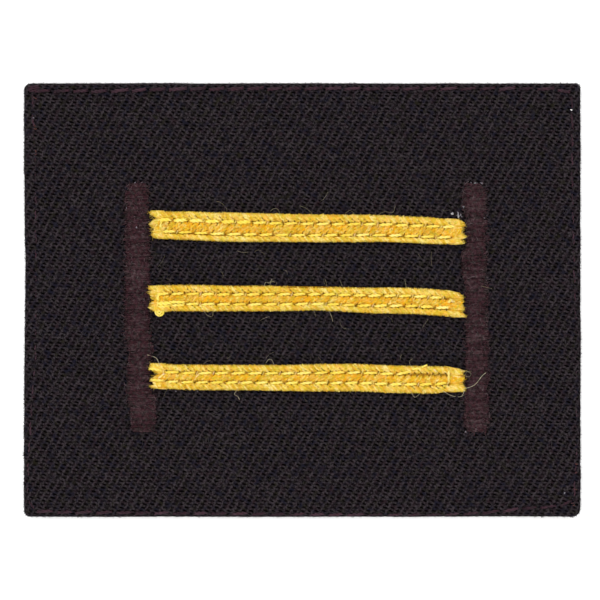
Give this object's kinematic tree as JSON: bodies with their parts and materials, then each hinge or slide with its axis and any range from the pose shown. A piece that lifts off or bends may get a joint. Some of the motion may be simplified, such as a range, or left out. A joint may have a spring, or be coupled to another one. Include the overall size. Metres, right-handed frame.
{
  "type": "rank insignia patch",
  "caption": "Dark twill cloth patch with a turned edge, bearing narrow gold braids sewn side by side between dark satin-stitched bars.",
  "frame": {"origin": "middle of the patch, on the surface that its turned hem rests on", "axes": "+X along the braids, to the right as seen from the face; +Y up the patch, across the braids; +Z out of the face"},
  "size_m": [0.072, 0.056, 0.0026],
  "materials": {
    "ground_twill": "matte",
    "gold_braid": "satin",
    "satin_thread": "satin"
  },
  "bodies": {
    "root": {"ground_cloth": "ground_twill", "braid_top": "gold_braid", "braid_middle": "gold_braid", "braid_bottom": "gold_braid", "bar_left": "satin_thread", "bar_right": "satin_thread"}
  },
  "joints": []
}
